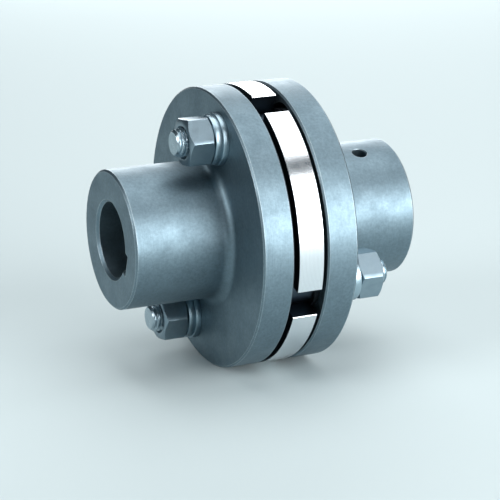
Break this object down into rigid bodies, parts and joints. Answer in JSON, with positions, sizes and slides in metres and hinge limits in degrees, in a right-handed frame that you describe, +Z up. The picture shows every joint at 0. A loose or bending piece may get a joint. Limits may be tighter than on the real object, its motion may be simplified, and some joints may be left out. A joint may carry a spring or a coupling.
{
  "type": "disc coupling",
  "caption": "Flexible shaft coupling: keyed flanged hubs joined by a laminated steel disc pack, bolted in turn to each flange.",
  "frame": {"origin": "on the shaft axis, in the middle of the disc pack", "axes": "+X along the shaft axis from the drive hub to the driven hub, +Z up; the first bolt lies 21 degrees from +Z towards -Y"},
  "size_m": [0.128, 0.12, 0.12],
  "materials": {
    "hub_steel": "turned, satin",
    "disc_steel": "rolled, edge ground and polished",
    "bolt_steel": "plain rolled thread",
    "nut_steel": "plain, forged",
    "washer_steel": "plain, stamped",
    "spring_washer_steel": "plain spring steel",
    "pack_washer_steel": "black oxide",
    "screw_steel": "black oxide"
  },
  "bodies": {
    "root": {"drive_hub": "hub_steel", "driven_hub": "hub_steel", "set_screw_drive": "screw_steel", "set_screw_driven": "screw_steel", "disc_01": "disc_steel", "disc_02": "disc_steel", "disc_03": "disc_steel", "disc_04": "disc_steel", "disc_05": "disc_steel", "disc_06": "disc_steel", "disc_07": "disc_steel", "disc_08": "disc_steel", "disc_09": "disc_steel", "disc_10": "disc_steel", "disc_11": "disc_steel", "disc_12": "disc_steel", "disc_13": "disc_steel", "disc_14": "disc_steel", "disc_15": "disc_steel", "disc_16": "disc_steel", "disc_17": "disc_steel", "disc_18": "disc_steel", "bolt_1": "bolt_steel", "bolt_2": "bolt_steel", "bolt_3": "bolt_steel", "bolt_4": "bolt_steel", "nut_1": "nut_steel", "nut_2": "nut_steel", "nut_3": "nut_steel", "nut_4": "nut_steel", "flat_washer_1": "washer_steel", "flat_washer_2": "washer_steel", "flat_washer_3": "washer_steel", "flat_washer_4": "washer_steel", "spring_washer_1": "spring_washer_steel", "spring_washer_2": "spring_washer_steel", "spring_washer_3": "spring_washer_steel", "spring_washer_4": "spring_washer_steel", "flange_washer_1": "pack_washer_steel", "flange_washer_2": "pack_washer_steel", "flange_washer_3": "pack_washer_steel", "flange_washer_4": "pack_washer_steel", "head_washer_1": "pack_washer_steel", "head_washer_2": "pack_washer_steel", "head_washer_3": "pack_washer_steel", "head_washer_4": "pack_washer_steel"}
  },
  "joints": []
}
